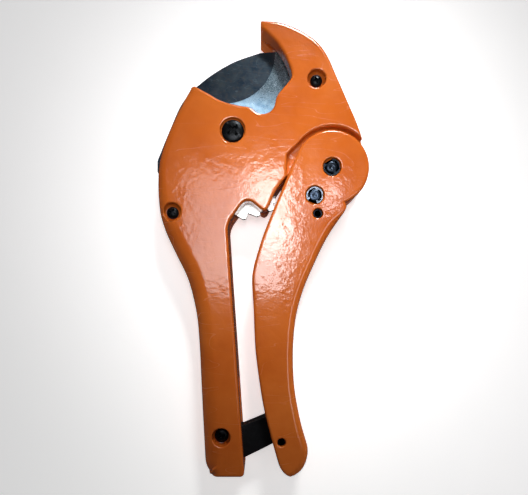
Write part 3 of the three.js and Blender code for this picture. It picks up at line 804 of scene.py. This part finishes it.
def refined_blade():
    """The blade with eased edges: dark flats, and a ground bevel, which is the faces that tilt slightly."""
    mesh = NODES["blade"].data.copy()
    obj = piece_from("blade_plate", "blade", "blade", BLADE_FLAT, mesh)
    bm = bmesh.new()
    bm.from_mesh(mesh)
    bmesh.ops.remove_doubles(bm, verts=bm.verts, dist=1e-7)
    bm.normal_update()
    for face in bm.faces:
        face.smooth = True
        tilt = abs(face.normal.z)
        face.material_index = 1 if 0.9 < tilt < 0.9995 else 0
    for edge in bm.edges:
        if len(edge.link_faces) == 2:
            first, second = edge.link_faces
            turn = edge.calc_face_angle(0)
            edge.smooth = first.material_index == second.material_index and turn < math.radians(25)
    bm.to_mesh(mesh)
    bm.free()
    mesh.materials.append(BLADE_GRIND)
    add_bevel(obj, 0.14, 40)


def eased(node):
    """A CAD node that stays, with bevelled edges."""
    add_bevel(NODES[node], 0.15, 35)
    shade_smooth(NODES[node].data, math.radians(35))


SCREWS = (  # node, axis, head radius, head height, shank radius, threads, recess span (mm), turn (degrees)
    ("blade_screw", BLADE_PIVOT, 5.2, 1.5, 2.7, 4, 6.6, 42),
    ("body_screw_top", SCREW_TOP, 2.85, 1.8, 1.5, 5, 3.7, 20),
    ("body_screw_left", SCREW_LEFT, 2.85, 1.8, 1.5, 5, 3.7, 65),
    ("latch_screw", LATCH_PIVOT, 3.3, 1.8, 2.3, 3, 4.2, 30),
)
refined_blade()
for screw in SCREWS:
    pan_screw(*screw)
hex_nut()
# Painted shade: the handle pin and its clips are darker copies of pin and clip steel.
grooved_pin("handle_pin", HANDLE_PIVOT, "body", PIN_DARK_AND_SHADED)
grooved_pin("pawl_pin", PAWL_PIVOT, "handle", PIN_STEEL)
for end in ("front", "rear"):
    e_clip(f"handle_clip_{end}", f"handle_eclip_{end}", HANDLE_PIVOT, "body", 120, CLIP_SHADED)
    e_clip(f"pawl_clip_{end}", f"pawl_eclip_{end}", PAWL_PIVOT, "handle", 250, CLIP_STEEL)
roll_pin("spring_anchor_pin", "spring_anchor_roll_pin", SPRING_ANCHOR, 2.0, "handle")
roll_pin("latch_catch_pin", "latch_catch_roll_pin", LATCH_CATCH, 1.7, "handle")
for node in ("latch", "drive_pawl", "holding_pawl", "blade_bushing", "holding_pawl_pin"):
    eased(node)
for node in ("blade_spring", "holding_pawl_spring", "handle_spring", "pawl_spring"):
    shade_smooth(NODES[node].data)
    round_wire = NODES[node].modifiers.new("round_wire", "SUBSURF")
    round_wire.levels = round_wire.render_levels = 2

# Camera -----------------------------------------------------------------------------------------

IMAGE_WIDTH = 528
SENSOR = 36.0
FOCAL_PIXELS = 436.0
camera_data = bpy.data.cameras.new("camera")
camera_data.sensor_width = SENSOR
camera_data.lens = FOCAL_PIXELS / IMAGE_WIDTH * SENSOR
camera_data.shift_x = 0.0038
camera_data.shift_y = 0.0994
camera_data.clip_start = 0.01
camera = bpy.data.objects.new("camera", camera_data)
camera.location = (0.0003, -0.02345, 0.220)
bpy.context.scene.collection.objects.link(camera)
bpy.context.scene.camera = camera

# Floor and light --------------------------------------------------------------------------------

FLOOR_HALF = 1.2
FLOOR_GAP = 0.0002
FOOT = camera.location.xy
PANE_HEIGHT = 0.25
PANE_LOSS = 0.8  # how much of a pane's radiance is left at the slant at which the paint mirrors it
PANE_COLOR = (1.0, 0.96, 0.97)
PANES = (  # name, left, right, low and high from the point under the camera, radiance, spread in degrees
    ("window_left", -0.075, -0.012, 0.010, 0.128, 4.0, 70),
    ("window_top", -0.012, 0.030, 0.046, 0.128, 16.0, 70),
    ("window_low", -0.012, 0.022, 0.010, 0.046, 8.0, 70),
    ("window_small", 0.056, 0.076, 0.094, 0.110, 16.0, 90),
    ("window_side", 0.105, 0.175, -0.110, 0.060, 4.0, 90),
)
AMBIENT, BACKDROP = 0.03, 0.85


def floor():
    """Pale paper, slightly lit from inside, that stays out of reflections."""
    data = bpy.data.meshes.new("floor")
    half = FLOOR_HALF
    corners = [(-half, -half, 0), (half, -half, 0), (half, half, 0), (-half, half, 0)]
    data.from_pydata(corners, [], [(0, 1, 2, 3)])
    obj = bpy.data.objects.new("floor", data)
    obj.location.z = BOTTOM - FLOOR_GAP
    bpy.context.scene.collection.objects.link(obj)
    s = Shader("floor_paper")
    s.link(s.ramp(s.noise(60, 4), [(0.3, 0.90), (0.7, 0.93)]), s.principled.inputs["Base Color"])
    s.set(Roughness=0.9, Emission_Color=(1, 1, 1, 1), Emission_Strength=0.60)
    s.bump([(s.noise(900, 3), 0.00005, 0.3)])
    data.materials.append(s.material)
    obj.visible_glossy = False


def panel(name, location, aim, size, power, color, spread):
    """A rectangular lamp with its power in watts and its spread in degrees."""
    data = bpy.data.lights.new(name, "AREA")
    data.shape = "RECTANGLE"
    data.size, data.size_y = size
    data.energy = power
    data.color = color
    data.spread = math.radians(spread)
    obj = bpy.data.objects.new(name, data)
    obj.location = location
    obj.rotation_mode = "QUATERNION"
    obj.rotation_quaternion = (Vector(aim) - Vector(location)).to_track_quat("-Z", "Y")
    bpy.context.scene.collection.objects.link(obj)


def window_pane(name, left, right, low, high, radiance, spread):
    """A lamp that faces down, which the glossy front mirrors as one pane of a window."""
    size = (right - left, high - low)
    spot = (FOOT.x + (left + right) / 2, FOOT.y + (low + high) / 2)
    half_spread = math.radians(spread) / 2
    concentration = math.tan(half_spread) / (math.tan(half_spread) - half_spread)
    power = radiance * math.pi * size[0] * size[1] / concentration / PANE_LOSS
    panel(name, (*spot, PANE_HEIGHT), (*spot, 0), size, power, PANE_COLOR, spread)


def studio_world():
    """A pale backdrop that adds only a little light."""
    world = bpy.data.worlds.new("studio")
    world.use_nodes = True
    tree = world.node_tree
    backdrop = tree.nodes["Background"]
    backdrop.inputs["Color"].default_value = (1, 1, 1, 1)
    light_path = tree.nodes.new("ShaderNodeLightPath")
    strength = tree.nodes.new("ShaderNodeMapRange")
    strength.inputs["To Min"].default_value = AMBIENT
    strength.inputs["To Max"].default_value = BACKDROP
    tree.links.new(light_path.outputs["Is Camera Ray"], strength.inputs["Value"])
    tree.links.new(strength.outputs["Result"], backdrop.inputs["Strength"])
    bpy.context.scene.world = world


floor()
for pane in PANES:
    window_pane(*pane)
panel("key_panel", (0.10, 0.40, 0.30), (0.03, 0.02, 0.01), (0.12, 0.09), 0.069, (1.0, 0.99, 0.97), 28)
studio_world()
bpy.context.scene.view_settings.view_transform = "Standard"
